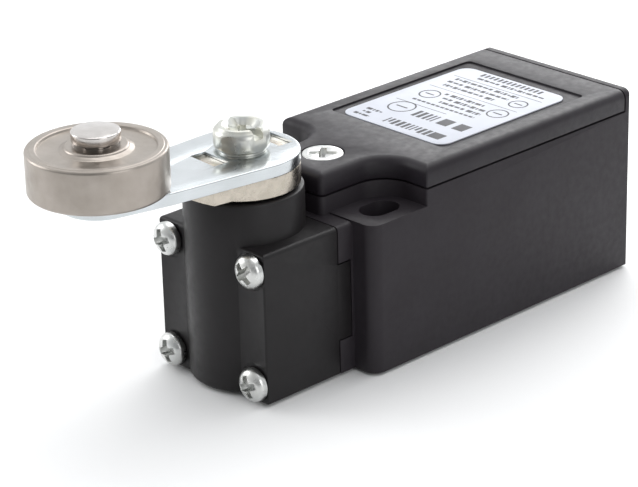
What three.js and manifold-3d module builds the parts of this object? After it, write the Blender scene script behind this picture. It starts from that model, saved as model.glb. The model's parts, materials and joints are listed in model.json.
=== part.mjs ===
// Limit switch with a roller lever, in millimetres, +Z up.
// The origin lies on the mounting face, midway between the two fixing slots.
// +Y runs from the operating head to the conduit entry, +Z from the mounting face to the lid.

import * as THREE from 'three';
import { mergeVertices } from 'three/addons/utils/BufferGeometryUtils.js';
import Module from 'manifold-3d';

const wasm = await Module();
wasm.setup();

// ---- driving dimensions ----

// clearances: resting faces, running fits, sliding guides, open seams, and how far a cutter reaches out
const CONTACT_GAP = 0.02;
const RUNNING_FIT = 0.05;
const GUIDE_GAP = 0.1;
const SEAM_GAP = 0.15;
const SPARE = 1;

// base and lid
const BODY_HALF_WIDTH = 15.5;
const BODY_END_Y = 50.7;
const EAR_FRONT_Y = -6;
const EAR_BACK_Y = 5.2;
const EAR_TOP_Z = 23.5;
const SEAM_Z = 26.2;
const LID_TOP_Z = 29.65;
const LID_END_Y = 49.4;
const END_WALL_Y = 49.6;
const EAR_CORNER_RADIUS = 2;
const END_CORNER_RADIUS = 0.4;
const WALL_TOP_RADIUS = 1.4;
const LID_EDGE_RADIUS = 1.4;

// narrow neck of the base and lid between the ears
const NECK_HALF_WIDTH = 6.55;
const NECK_FRONT_Y = -7.55;
const NECK_FILLET = 5;
const NECK_CORNER = 1;

// lid: inner spigot, screw, label and the recess that it lies in
const SPIGOT = { halfWidth: 11.8, front: 7.7, back: 42.8, low: 24.6, wall: 1.4, pocketTop: 27.9 };
const LID_SCREW = { y: -0.9, headRadius: 3.1, rim: 0.3, coneHeight: 1.5, radius: 1.45, low: 18.3 };
const LABEL = { halfWidth: 10.85, front: 13.1, back: 41.4, radius: 2.1, thickness: 0.2 };
const LABEL_RECESS = { halfWidth: 12.3, front: 12.5, back: 43.5, depth: 0.3, radius: 1 };

// fixing slots through the ears
const SLOT_X = 10.8;
const SLOT_WIDTH = 4.6;
const SLOT_LENGTH = 6.6;

// wiring chamber, gasket ledge and conduit entry
const CHAMBER = { halfWidth: 12.7, front: 6.8, back: 43.7, floor: 2.2 };
const LEDGE_Z = 24.8;
const LEDGE_STEP = 0.6;
const CONDUIT_RADIUS = 9.2;
const CONDUIT_Z = 14;

// operating head
const HEAD_HALF_WIDTH = 11.3;
const HEAD_FRONT_Y = -23.5;
const HEAD_BACK_Y = -8.9;
const HEAD_TOP_Z = 23.25;
const SHAFT_Y = -16.75;
const TURRET_RADIUS = 8.88;
const TURRET_TOP_Z = 29.4;
const TURRET_CHAMFER = 0.6;
const PLUNGER_Z = 11.6;
const HEAD_SCREW = { offset: 8.87, headRadius: 2.55, headHeight: 2, radius: 1.4, hole: 1.65, length: 19 };
const HEAD_CAVITY = { halfWidth: 7, floor: 5, top: 18.2 };
const HEAD_SEAL = { halfWidth: 10.3, low: 1, high: 22.25, notch: 2.3, thickness: 0.8 };
const TONGUE = { inner: 9.9, low: 5.5, high: 17.4, end: -6.6 };

// shaft, bearing and cam
const SHAFT_RADIUS = 4;
const JOURNAL_RADIUS = 2.6;
const SHAFT_LOW_Z = 2.6;
const SHAFT_STEP_Z = 16.6;
const SHAFT_TOP_Z = 31.1;
const GROOVE = { low: 18.6, high: 19.6, radius: 3.5 };
const BUSH = { low: 20, high: 26.4, radius: 5.6 };
const SEAL = { low: 26.7, high: 28.9, radius: 6.2 };
const CAM = { radius: 6, flat: 3.4, low: 8, high: 15.2 };

// follower and its spring
const PISTON_RADIUS = 4.4;
const PISTON_GUIDE_RADIUS = 4.6;
const STEM_RADIUS = 2.5;
const STEM_GUIDE_RADIUS = 2.8;
const PISTON_FRONT_Y = SHAFT_Y + CAM.radius + 0.3;
const PISTON_CAP_Y = -8;
const SPRING_SEAT_Y = -1;
const STEM_END_Y = 6.9;

// lever, in its own frame: shaft axis at the origin, roller towards -Y
const LEVER_ANGLE = THREE.MathUtils.degToRad(-3.9);
const ARM_LENGTH = 25;
const ARM_END_RADIUS = 8.43;
const ARM_TIP_RADIUS = 5.5;
const ARM_SHOULDER = { halfWidth: 6.85, reach: 17.4 };
const LEVER_LOW_Z = 32.87;
const LEVER_TOP_Z = 34.71;
const DRIVER_SLOT = { near: 4.6, far: 7.2, halfLength: 2.8, gap: 0.12 };
const HUB = { low: 29.7, step: 31, discRadius: 8.45, inset: 0.15, end: 12, endRadius: 23 };
const HUB_LUG_DROP = 0.45;
const BOLT = {
  acrossFlats: 7.9, height: 3.8, radius: 2.45, low: 22.5, slotWidth: 1.6, slotDepth: 1.4,
  slotTurn: THREE.MathUtils.degToRad(1),
};

// roller, washer and pin
const ROLLER = { radius: 10, low: 35.21, high: 41.73, chamfer: 0.7, recess: 0.4, rise: 0.3 };
const ROLLER_RING = { inner: 4.6, outer: 8.2 };
const PIN = { radius: 2, headRadius: 3.48, headLow: 42.6, headHigh: 44.1, foot: 32.1, footRadius: 3.2 };
const WASHER = { radius: 4.2, low: 34.76, high: 35.16 };

// contact block: case, sliding bar, terminals and bridges
const BLOCK = { halfWidth: 12.2, front: 8.4, back: 32.4, floor: 4.4, shelf: 16.6, top: 21.5 };
const BLOCK_CAVITY = { halfWidth: 6, front: 9.6, back: 31, floor: 6.4 };
const BAR = { halfWidth: 2, halfHeight: 3, front: 7.2, back: 27.4 };
const TERMINAL_X = 9.1;
const TERMINALS = [
  { number: 13, side: -1, y: 13.5, leaf: 15.5, tipSide: -1 },
  { number: 14, side: 1, y: 13.5, leaf: 15.5, tipSide: -1 },
  { number: 21, side: -1, y: 22.1, leaf: 19.4, tipSide: 1 },
  { number: 22, side: 1, y: 22.1, leaf: 19.4, tipSide: 1 },
];
const BRIDGES = {
  no: { plate: 11, tipSide: 1, spring: [9.5, 10.9], window: [9.4, 11.9] },
  nc: { plate: 21.2, tipSide: -1, spring: [22.1, 23.5], window: [21.1, 23.6] },
};
const RETURN_SPRING = { seatRadius: 1.6, seat: 24.6, low: 24.7, high: 30.9 };
const BRIDGE = { halfWidth: 5.6, halfHeight: 1.7, thickness: 0.8 };
const TIP = { x: 4.55, radius: 1.1, height: 0.4 };
const LEAF_THICKNESS = 0.7;
const PAD = { inner: 3.4, outer: 11.8, halfLength: 3.3, thickness: 0.8, hole: 1.65 };
const CLAMP_HALF_WIDTH = 2.85;
const BLOCK_SCREW_Y = 28.9;
const M3_RADIUS = 1.4;

// ---- geometry helpers ----

/** A closed mesh as a manifold-3d solid, with shared corners merged and zero-area triangles dropped. */
function toSolid(geometry) {
  const bare = geometry.clone();
  bare.deleteAttribute('normal');
  bare.deleteAttribute('uv');
  const merged = mergeVertices(bare, 1e-4);
  const index = merged.index.array;
  const triangles = [];
  for (let i = 0; i < index.length; i += 3) {
    const [a, b, c] = index.slice(i, i + 3);
    if (a !== b && b !== c && c !== a) triangles.push(a, b, c);
  }
  return new wasm.Manifold(new wasm.Mesh({
    numProp: 3,
    vertProperties: merged.attributes.position.array,
    triVerts: new Uint32Array(triangles),
  }));
}

/** A manifold-3d solid back as a three.js geometry. */
function toGeometry(solid) {
  const mesh = solid.getMesh();
  const geometry = new THREE.BufferGeometry();
  geometry.setAttribute('position', new THREE.BufferAttribute(mesh.vertProperties, 3));
  geometry.setIndex(new THREE.BufferAttribute(mesh.triVerts, 1));
  return geometry;
}

function join(base, ...others) {
  return toGeometry(others.reduce((sum, other) => sum.add(toSolid(other)), toSolid(base)));
}

function cut(base, ...tools) {
  return toGeometry(tools.reduce((sum, tool) => sum.subtract(toSolid(tool)), toSolid(base)));
}

function overlap(a, b) {
  return toGeometry(toSolid(a).intersect(toSolid(b)));
}

/** A box given by its lowest and highest corner. */
function block([x0, y0, z0], [x1, y1, z1]) {
  const box = new THREE.BoxGeometry(x1 - x0, y1 - y0, z1 - z0);
  return box.translate((x0 + x1) / 2, (y0 + y1) / 2, (z0 + z1) / 2);
}

/** A round bar along Z at (x, y). */
function barZ(radius, z0, z1, x = 0, y = 0, sides = 24) {
  const bar = new THREE.CylinderGeometry(radius, radius, z1 - z0, sides);
  return bar.rotateX(Math.PI / 2).translate(x, y, (z0 + z1) / 2);
}

/** A round bar along Y at (x, z). */
function barY(radius, y0, y1, x = 0, z = 0, sides = 24) {
  const bar = new THREE.CylinderGeometry(radius, radius, y1 - y0, sides);
  return bar.translate(x, (y0 + y1) / 2, z);
}

/** A cone frustum along Z. */
function coneZ(lowRadius, highRadius, z0, z1, x = 0, y = 0, sides = 24) {
  const cone = new THREE.CylinderGeometry(highRadius, lowRadius, z1 - z0, sides);
  return cone.rotateX(Math.PI / 2).translate(x, y, (z0 + z1) / 2);
}

/** A solid of revolution about Z; the profile is [radius, z] pairs. */
function turned(profile, sides = 24) {
  const points = profile.map(([radius, z]) => new THREE.Vector2(radius, z));
  return new THREE.LatheGeometry(points, sides).rotateX(Math.PI / 2);
}

/** A ring about Z with a square section. */
function ring(inner, outer, z0, z1, sides = 24) {
  return turned([[inner, z0], [outer, z0], [outer, z1], [inner, z1], [inner, z0]], sides);
}

/** A flat shape in XY raised from z0 to z1. */
function plate(shape, z0, z1, curveSegments = 6) {
  const options = { depth: z1 - z0, bevelEnabled: false, curveSegments };
  return new THREE.ExtrudeGeometry(shape, options).translate(0, 0, z0);
}

/** A rounded rectangle in XY. */
function roundedRectangle(x0, y0, x1, y1, radius) {
  const shape = new THREE.Shape();
  shape.moveTo(x0 + radius, y0);
  shape.lineTo(x1 - radius, y0);
  shape.absarc(x1 - radius, y0 + radius, radius, -Math.PI / 2, 0);
  shape.lineTo(x1, y1 - radius);
  shape.absarc(x1 - radius, y1 - radius, radius, 0, Math.PI / 2);
  shape.lineTo(x0 + radius, y1);
  shape.absarc(x0 + radius, y1 - radius, radius, Math.PI / 2, Math.PI);
  shape.lineTo(x0, y0 + radius);
  shape.absarc(x0 + radius, y0 + radius, radius, Math.PI, 1.5 * Math.PI);
  return shape;
}

/** The angle at which a line from (x, y) touches a circle about (0, centreY). */
function touchAngle(x, y, centreY, radius, turn) {
  const distance = Math.hypot(x, y - centreY);
  return Math.atan2(y - centreY, x) + turn * Math.acos(radius / distance);
}

/** The arm's outline drawn in by inset: round end at the origin, shoulders, round tip at -Y. */
function armOutline(inset) {
  const endRadius = ARM_END_RADIUS - inset;
  const tipRadius = ARM_TIP_RADIUS - inset;
  const x = ARM_SHOULDER.halfWidth - inset;
  const y = -ARM_SHOULDER.reach;
  const endTouch = touchAngle(x, y, 0, endRadius, 1);
  const tipTouch = touchAngle(x, y, -ARM_LENGTH, tipRadius, -1);
  const shape = new THREE.Shape();
  shape.absarc(0, 0, endRadius, endTouch, Math.PI - endTouch, false);
  shape.lineTo(-x, y);
  shape.absarc(0, -ARM_LENGTH, tipRadius, -Math.PI - tipTouch, tipTouch, false);
  shape.lineTo(x, y);
  shape.closePath();
  return shape;
}

/** A helix about Y for spring wire. */
class Helix extends THREE.Curve {
  constructor(radius, y0, y1, turns) {
    super();
    Object.assign(this, { radius, y0, y1, turns });
  }

  getPoint(t, target = new THREE.Vector3()) {
    const angle = 2 * Math.PI * this.turns * t;
    const y = this.y0 + (this.y1 - this.y0) * t;
    return target.set(this.radius * Math.cos(angle), y, PLUNGER_Z + this.radius * Math.sin(angle));
  }
}

/** A coil spring about the plunger axis, between y0 and y1 outside the wire. */
function spring(meanRadius, wireRadius, y0, y1, turns, stepsPerTurn = 9) {
  const section = new THREE.Shape().absarc(0, 0, wireRadius, 0, 2 * Math.PI);
  const path = new Helix(meanRadius, y0 + wireRadius, y1 - wireRadius, turns);
  const steps = Math.round(turns * stepsPerTurn);
  const options = { steps, curveSegments: 2, extrudePath: path, bevelEnabled: false };
  return new THREE.ExtrudeGeometry(section, options);
}

/** One piece for each side of the plane x = 0. */
function bothSides(make) {
  return [make(-1), make(1)];
}

/** The crossed slots of a screw drive, as a cutter about Z going down from z. */
function crossDrive(z, depth, reach = 1.6, width = 0.7, angle = 0) {
  const bar = () => block([-reach, -width / 2, z - depth], [reach, width / 2, z + SPARE]);
  return join(bar(), bar().rotateZ(Math.PI / 2)).rotateZ(angle);
}

// ---- base, lid and their seal ----

/** Neck, fillets and main rectangle, shared by the lid and the top of the base. */
function coverOutline(endY, cornerRadius = NECK_CORNER) {
  const fillet = NECK_HALF_WIDTH + NECK_FILLET;
  const corner = NECK_HALF_WIDTH - cornerRadius;
  const shape = new THREE.Shape();
  shape.moveTo(BODY_HALF_WIDTH, endY);
  shape.lineTo(-BODY_HALF_WIDTH, endY);
  shape.lineTo(-BODY_HALF_WIDTH, EAR_BACK_Y);
  shape.absarc(-fillet, EAR_BACK_Y - NECK_FILLET, NECK_FILLET, Math.PI / 2, 0, true);
  shape.absarc(-corner, NECK_FRONT_Y + cornerRadius, cornerRadius, Math.PI, 1.5 * Math.PI);
  shape.absarc(corner, NECK_FRONT_Y + cornerRadius, cornerRadius, -Math.PI / 2, 0);
  shape.absarc(fillet, EAR_BACK_Y - NECK_FILLET, NECK_FILLET, Math.PI, Math.PI / 2, true);
  shape.lineTo(BODY_HALF_WIDTH, EAR_BACK_Y);
  shape.closePath();
  return shape;
}

function fixingSlot(side) {
  const x = side * SLOT_X;
  const halfWidth = SLOT_WIDTH / 2;
  const halfLength = SLOT_LENGTH / 2;
  const outline = roundedRectangle(x - halfWidth, -halfLength, x + halfWidth, halfLength, halfWidth - 0.01);
  return plate(outline, -1, EAR_TOP_Z + 1);
}

/** The four places of the head screws, about the plunger axis. */
function headScrewPlaces() {
  const places = [];
  for (const z of [PLUNGER_Z + HEAD_SCREW.offset, PLUNGER_Z - HEAD_SCREW.offset]) {
    for (const x of [-HEAD_SCREW.offset, HEAD_SCREW.offset]) places.push({ x, z });
  }
  return places;
}

function bodyHousing() {
  const { halfWidth, front, back, floor } = CHAMBER;
  const earCorners = roundedRectangle(
    -BODY_HALF_WIDTH, EAR_FRONT_Y, BODY_HALF_WIDTH, BODY_END_Y + EAR_CORNER_RADIUS, EAR_CORNER_RADIUS,
  );
  const endCorners = roundedRectangle(
    -BODY_HALF_WIDTH, EAR_FRONT_Y - SPARE, BODY_HALF_WIDTH, BODY_END_Y, END_CORNER_RADIUS,
  );
  const lower = overlap(plate(earCorners, 0, EAR_TOP_Z), plate(endCorners, 0, EAR_TOP_Z));
  const upper = overlap(
    plate(coverOutline(BODY_END_Y), EAR_TOP_Z - SPARE, SEAM_Z),
    plate(endCorners, 0, SEAM_Z),
  );
  const headNeck = block(
    [-HEAD_HALF_WIDTH, HEAD_BACK_Y, 0],
    [HEAD_HALF_WIDTH, EAR_FRONT_Y + SPARE, HEAD_TOP_Z],
  );
  const wallFace = roundedRectangle(
    -BODY_HALF_WIDTH, SEAM_Z - 2 * SPARE, BODY_HALF_WIDTH, LID_TOP_Z, WALL_TOP_RADIUS,
  );
  const endWall = overlap(
    plate(wallFace, -BODY_END_Y, -END_WALL_Y).rotateX(Math.PI / 2),
    plate(endCorners, SEAM_Z - SPARE, LID_TOP_Z + SPARE),
  );
  const ledgeWidth = halfWidth + LEDGE_STEP;
  const hollowed = cut(
    join(lower, upper, headNeck, endWall),
    block([-halfWidth, front, floor], [halfWidth, back, SEAM_Z + SPARE]),
    block([-ledgeWidth, front - LEDGE_STEP, LEDGE_Z], [ledgeWidth, back + LEDGE_STEP, SEAM_Z + SPARE]),
  );
  const postRadius = 3;
  const postTop = BLOCK.floor - RUNNING_FIT;
  const body = join(hollowed, ...bothSides((side) => (
    barZ(postRadius, floor - SPARE, postTop, side * TERMINAL_X, BLOCK_SCREW_Y, 20)
  )));
  const postHoleLow = 1.2;
  const threadRadius = 1.5;
  const threadEnd = -4.3;
  const outer = HEAD_HALF_WIDTH + SPARE;
  const tongueSlot = (side) => block(
    [side > 0 ? TONGUE.inner - SEAM_GAP : -outer, HEAD_BACK_Y - SPARE, TONGUE.low - SEAM_GAP],
    [side > 0 ? outer : SEAM_GAP - TONGUE.inner, TONGUE.end + SEAM_GAP, TONGUE.high + SEAM_GAP],
  );
  const lidThreadLow = 18;
  return cut(
    body,
    ...bothSides((side) => (
      barZ(threadRadius, postHoleLow, BLOCK.floor, side * TERMINAL_X, BLOCK_SCREW_Y, 16)
    )),
    barY(CONDUIT_RADIUS, back - SPARE, BODY_END_Y + SPARE, 0, CONDUIT_Z, 40),
    barY(PISTON_GUIDE_RADIUS, HEAD_BACK_Y - SPARE, SPRING_SEAT_Y, 0, PLUNGER_Z),
    barY(STEM_GUIDE_RADIUS, SPRING_SEAT_Y - SPARE, front + SPARE, 0, PLUNGER_Z),
    ...headScrewPlaces().map(({ x, z }) => barY(threadRadius, HEAD_BACK_Y - SPARE, threadEnd, x, z, 16)),
    barZ(threadRadius, lidThreadLow, SEAM_Z + SPARE, 0, LID_SCREW.y, 16),
    ...bothSides(fixingSlot),
    ...bothSides(tongueSlot),
  );
}

/** The lid's outside: the outline with a rounded top edge, cut square at the far end. */
function lidShell() {
  const pastEnd = 6;
  const options = {
    depth: LID_TOP_Z - SEAM_Z,
    bevelEnabled: true,
    bevelThickness: LID_EDGE_RADIUS,
    bevelSize: LID_EDGE_RADIUS,
    bevelOffset: -LID_EDGE_RADIUS,
    bevelSegments: 2,
    curveSegments: 6,
  };
  const outline = coverOutline(LID_END_Y + pastEnd, LID_EDGE_RADIUS + 0.1);
  const rounded = new THREE.ExtrudeGeometry(outline, options);
  rounded.translate(0, 0, SEAM_Z - LID_EDGE_RADIUS);
  const keep = block(
    [-BODY_HALF_WIDTH, NECK_FRONT_Y, SEAM_Z],
    [BODY_HALF_WIDTH, LID_END_Y, LID_TOP_Z + SPARE],
  );
  return overlap(rounded, keep);
}

function coverLid() {
  const { halfWidth, front, back, low, wall, pocketTop } = SPIGOT;
  const recess = LABEL_RECESS;
  const headRadius = LID_SCREW.headRadius + SEAM_GAP;
  const shankRadius = LID_SCREW.radius + 0.25;
  const coneTop = LID_TOP_Z - LID_SCREW.rim;
  return cut(
    join(lidShell(), block([-halfWidth, front, low], [halfWidth, back, SEAM_Z + 0.1])),
    block([wall - halfWidth, front + wall, low - SPARE], [halfWidth - wall, back - wall, pocketTop]),
    plate(
      roundedRectangle(-recess.halfWidth, recess.front, recess.halfWidth, recess.back, recess.radius),
      LID_TOP_Z - recess.depth, LID_TOP_Z + SPARE, 3,
    ),
    barZ(headRadius, coneTop, LID_TOP_Z + SPARE, 0, LID_SCREW.y),
    coneZ(shankRadius, headRadius, coneTop - LID_SCREW.coneHeight - 0.1, coneTop, 0, LID_SCREW.y),
    barZ(shankRadius, SEAM_Z - SPARE, coneTop, 0, LID_SCREW.y),
  );
}

function lidGasket() {
  const outer = CHAMBER.halfWidth + LEDGE_STEP - GUIDE_GAP;
  const inner = SPIGOT.halfWidth + GUIDE_GAP;
  const low = LEDGE_Z + RUNNING_FIT;
  const high = SEAM_Z - RUNNING_FIT;
  const outerEnds = [CHAMBER.front - LEDGE_STEP + GUIDE_GAP, CHAMBER.back + LEDGE_STEP - GUIDE_GAP];
  const innerEnds = [SPIGOT.front - GUIDE_GAP, SPIGOT.back + GUIDE_GAP];
  return cut(
    block([-outer, outerEnds[0], low], [outer, outerEnds[1], high]),
    block([-inner, innerEnds[0], low - SPARE], [inner, innerEnds[1], high + SPARE]),
  );
}

function labelPlate() {
  const { halfWidth, front, back, radius, thickness } = LABEL;
  const low = LID_TOP_Z - LABEL_RECESS.depth;
  return plate(roundedRectangle(-halfWidth, front, halfWidth, back, radius), low, low + thickness, 4);
}

function lidScrew() {
  const { y, headRadius, rim, coneHeight, radius, low } = LID_SCREW;
  const coneTop = LID_TOP_Z - rim;
  const profile = [[0, low], [radius, low], [radius, coneTop - coneHeight], [headRadius, coneTop]];
  profile.push([headRadius, LID_TOP_Z], [0, LID_TOP_Z]);
  return cut(turned(profile), crossDrive(LID_TOP_Z, 1.2)).translate(0, y, 0);
}

// ---- operating head ----

/** Flat seal outline in XZ, written in XY and turned upright; grow widens it for its recess. */
function headSeal(y0, y1, grow) {
  const { halfWidth, low, high, notch } = HEAD_SEAL;
  const sheet = block([-halfWidth - grow, y0, low - grow], [halfWidth + grow, y1, high + grow]);
  return cut(sheet, ...headScrewPlaces().map(({ x, z }) => (
    barY(notch - grow, y0 - SPARE, y1 + SPARE, x, z, 20)
  )));
}

function headGasket() {
  const { halfWidth, floor, top } = HEAD_CAVITY;
  const y0 = HEAD_BACK_Y - HEAD_SEAL.thickness + CONTACT_GAP;
  const y1 = HEAD_BACK_Y - CONTACT_GAP;
  return cut(headSeal(y0, y1, 0), block([-halfWidth, y0 - SPARE, floor], [halfWidth, y1 + SPARE, top]));
}

function headHousing() {
  const { halfWidth, floor, top } = HEAD_CAVITY;
  const turret = cut(
    turned([
      [0, 0], [TURRET_RADIUS - TURRET_CHAMFER, 0], [TURRET_RADIUS, TURRET_CHAMFER],
      [TURRET_RADIUS, TURRET_TOP_Z], [0, TURRET_TOP_Z],
    ], 48).translate(0, SHAFT_Y, 0),
    block([-HEAD_HALF_WIDTH, HEAD_BACK_Y, -SPARE], [HEAD_HALF_WIDTH, 0, HEAD_TOP_Z + RUNNING_FIT]),
  );
  const outside = join(
    block([-HEAD_HALF_WIDTH, HEAD_FRONT_Y, 0], [HEAD_HALF_WIDTH, HEAD_BACK_Y, HEAD_TOP_Z]),
    turret,
    block([TONGUE.inner, HEAD_BACK_Y - SPARE, TONGUE.low], [HEAD_HALF_WIDTH, TONGUE.end, TONGUE.high]),
    block([-HEAD_HALF_WIDTH, HEAD_BACK_Y - SPARE, TONGUE.low], [-TONGUE.inner, TONGUE.end, TONGUE.high]),
  );
  return cut(
    outside,
    headSeal(HEAD_BACK_Y - HEAD_SEAL.thickness, HEAD_BACK_Y, RUNNING_FIT),
    block([-halfWidth, SHAFT_Y, floor], [halfWidth, HEAD_BACK_Y, top]),
    barZ(halfWidth, floor, top, 0, SHAFT_Y, 40),
    barZ(JOURNAL_RADIUS + RUNNING_FIT, SHAFT_LOW_Z - 0.2, floor + SPARE, 0, SHAFT_Y),
    barZ(BUSH.radius + RUNNING_FIT, top - SPARE, SEAL.low - 0.2, 0, SHAFT_Y),
    barZ(SEAL.radius + RUNNING_FIT, SEAL.low - 0.25, TURRET_TOP_Z + SPARE, 0, SHAFT_Y),
    ...headScrewPlaces().map(({ x, z }) => (
      barY(HEAD_SCREW.hole, HEAD_FRONT_Y - SPARE, HEAD_BACK_Y + SPARE, x, z, 16)
    )),
  );
}

/** One pan-head screw along +Y, seated on the head's front face. */
function headScrew(x, z, angle) {
  const { headRadius, headHeight, radius, length } = HEAD_SCREW;
  const seat = -HEAD_FRONT_Y + CONTACT_GAP;
  const crown = seat + headHeight;
  const profile = [
    [0, seat - length], [radius, seat - length], [radius, seat], [headRadius, seat],
    [headRadius, crown - 1.15], [0.86 * headRadius, crown - 0.55],
    [0.54 * headRadius, crown - 0.1], [0, crown],
  ];
  const drive = crossDrive(crown, 1.2, 1.45, 0.65, angle);
  return cut(turned(profile, 16), drive).rotateX(Math.PI / 2).translate(x, 0, z);
}

function headPiston() {
  return join(
    barY(PISTON_RADIUS, PISTON_FRONT_Y, PISTON_CAP_Y, 0, PLUNGER_Z),
    barY(STEM_RADIUS, PISTON_CAP_Y - 1, STEM_END_Y, 0, PLUNGER_Z),
  );
}

// ---- shaft assembly, about its own axis ----

function shaft() {
  const bore = BOLT.radius + GUIDE_GAP;
  const boreLow = BOLT.low - 1;
  return turned([
    [0, SHAFT_LOW_Z], [JOURNAL_RADIUS, SHAFT_LOW_Z], [JOURNAL_RADIUS, SHAFT_STEP_Z],
    [SHAFT_RADIUS, SHAFT_STEP_Z], [SHAFT_RADIUS, GROOVE.low], [GROOVE.radius, GROOVE.low],
    [GROOVE.radius, GROOVE.high], [SHAFT_RADIUS, GROOVE.high], [SHAFT_RADIUS, SHAFT_TOP_Z],
    [bore, SHAFT_TOP_Z], [bore, boreLow], [0, boreLow],
  ]);
}

/** A round cam with a flat that faces the follower at rest. */
function cam() {
  const { radius, flat, low, high } = CAM;
  return cut(
    ring(JOURNAL_RADIUS + RUNNING_FIT, radius, low, high),
    block([-radius, flat, low - SPARE], [radius, radius + SPARE, high + SPARE]),
  );
}

function shaftCirclip() {
  const { low, high, radius } = GROOVE;
  const outer = 5.2;
  const gapHalfWidth = 2.2;
  return cut(
    ring(radius + RUNNING_FIT, outer, low + GUIDE_GAP, high - GUIDE_GAP),
    block([-gapHalfWidth, 0, low - SPARE], [gapHalfWidth, outer + SPARE, high + SPARE]),
  );
}

// ---- lever, about the shaft axis ----

function driverBlock(side, shrink, z0, z1) {
  const { near, far, halfLength } = DRIVER_SLOT;
  const low = side > 0 ? near + shrink : -far + shrink;
  const high = side > 0 ? far - shrink : -near - shrink;
  return block([-halfLength + shrink, low, z0], [halfLength - shrink, high, z1]);
}

function leverHub() {
  const { low, step, discRadius, inset, end, endRadius } = HUB;
  const top = LEVER_LOW_Z - CONTACT_GAP;
  const underArm = plate(armOutline(inset), step, top, 12);
  const front = overlap(underArm, barZ(endRadius, step - SPARE, top + SPARE, 0, endRadius - end, 96));
  const lugs = bothSides((side) => driverBlock(side, DRIVER_SLOT.gap, step, LEVER_TOP_Z - HUB_LUG_DROP));
  return cut(
    join(barZ(discRadius, low, top, 0, 0, 40), front, ...lugs),
    barZ(SHAFT_RADIUS + RUNNING_FIT, low - SPARE, SHAFT_TOP_Z + GUIDE_GAP),
    barZ(BOLT.radius + GUIDE_GAP, low, top + SPARE),
  );
}

function leverPlate() {
  const low = LEVER_LOW_Z - SPARE;
  const high = LEVER_TOP_Z + SPARE;
  return cut(
    plate(armOutline(0), LEVER_LOW_Z, LEVER_TOP_Z, 16),
    ...bothSides((side) => driverBlock(side, 0, low, high)),
    barZ(BOLT.radius + 2 * GUIDE_GAP, low, high),
    barZ(PIN.radius + GUIDE_GAP, low, high, 0, -ARM_LENGTH),
  );
}

/** Hexagon bolt with a round collar, a barrel-shaped head, a straight slot and a cross drive. */
function leverBolt() {
  const { acrossFlats, height, radius, low, slotWidth, slotDepth, slotTurn } = BOLT;
  const seat = LEVER_TOP_Z + CONTACT_GAP;
  const top = seat + height;
  const cornerRadius = acrossFlats / Math.sqrt(3);
  const barrel = turned([
    [0, seat], [3.5, seat], [3.5, seat + 0.3], [3.95, seat + 0.45], [4.2, seat + 1.2],
    [4.2, top - 1.4], [3.9, top - 0.5], [3.3, top], [0, top],
  ]);
  const head = overlap(barZ(cornerRadius, seat, top, 0, 0, 6), barrel);
  const slot = block(
    [-acrossFlats, -slotWidth / 2, top - slotDepth],
    [acrossFlats, slotWidth / 2, top + SPARE],
  );
  return cut(
    join(head, barZ(radius, low, seat + 0.3)),
    slot.rotateZ(slotTurn),
    crossDrive(top, 2.2, 1.9, 1, slotTurn),
  );
}

// ---- roller, about its own axis ----

function roller() {
  const { radius, low, high, chamfer, recess, rise } = ROLLER;
  const bore = PIN.radius + GUIDE_GAP;
  return turned([
    [bore, low], [radius - chamfer, low], [radius, low + chamfer], [radius, high - chamfer],
    [radius - chamfer, high], [ROLLER_RING.outer, high], [ROLLER_RING.outer, high - recess],
    [ROLLER_RING.inner, high - recess], [ROLLER_RING.inner, high + rise], [bore, high + rise], [bore, low],
  ], 48);
}

function rollerPin() {
  const { radius, headRadius, headLow, headHigh, foot, footRadius } = PIN;
  const neck = LEVER_LOW_Z - RUNNING_FIT;
  const chamfer = 0.4;
  return turned([
    [0, foot], [footRadius, foot], [footRadius, neck], [radius, neck], [radius, headLow],
    [headRadius, headLow], [headRadius, headHigh - chamfer], [headRadius - chamfer, headHigh], [0, headHigh],
  ]);
}

// ---- contact block ----

function contactBlockCase() {
  const { halfWidth, front, back, floor, shelf, top } = BLOCK;
  const cavity = BLOCK_CAVITY;
  const partitions = [17.3, 25.6];
  const partitionThickness = 0.8;
  const terminalHoleLow = 10.8;
  const shelfWall = (side, y0, y1) => block(
    [side > 0 ? cavity.halfWidth : -halfWidth, y0, shelf - SPARE],
    [side > 0 ? halfWidth : -cavity.halfWidth, y1, top],
  );
  const solid = join(
    block([-halfWidth, front, floor], [halfWidth, back, shelf]),
    block([-halfWidth, front, floor], [halfWidth, cavity.front, top]),
    block([-cavity.halfWidth, cavity.back, floor], [cavity.halfWidth, back, top]),
    ...partitions.flatMap((y) => bothSides((side) => shelfWall(side, y, y + partitionThickness))),
  );
  const guide = { x: BAR.halfWidth + GUIDE_GAP, z: BAR.halfHeight + GUIDE_GAP };
  const hole = M3_RADIUS + SEAM_GAP;
  return cut(
    solid,
    block([-cavity.halfWidth, cavity.front, cavity.floor], [cavity.halfWidth, cavity.back, top + SPARE]),
    block(
      [-guide.x, front - SPARE, PLUNGER_Z - guide.z],
      [guide.x, cavity.front + SPARE, PLUNGER_Z + guide.z],
    ),
    barY(STEM_GUIDE_RADIUS, front - SPARE, cavity.front + SPARE, 0, PLUNGER_Z),
    ...TERMINALS.map((t) => barZ(hole, terminalHoleLow, shelf + SPARE, t.side * TERMINAL_X, t.y, 16)),
    ...bothSides((side) => (
      barZ(hole + SEAM_GAP, floor - SPARE, shelf + SPARE, side * TERMINAL_X, BLOCK_SCREW_Y, 16)
    )),
  );
}

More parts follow.
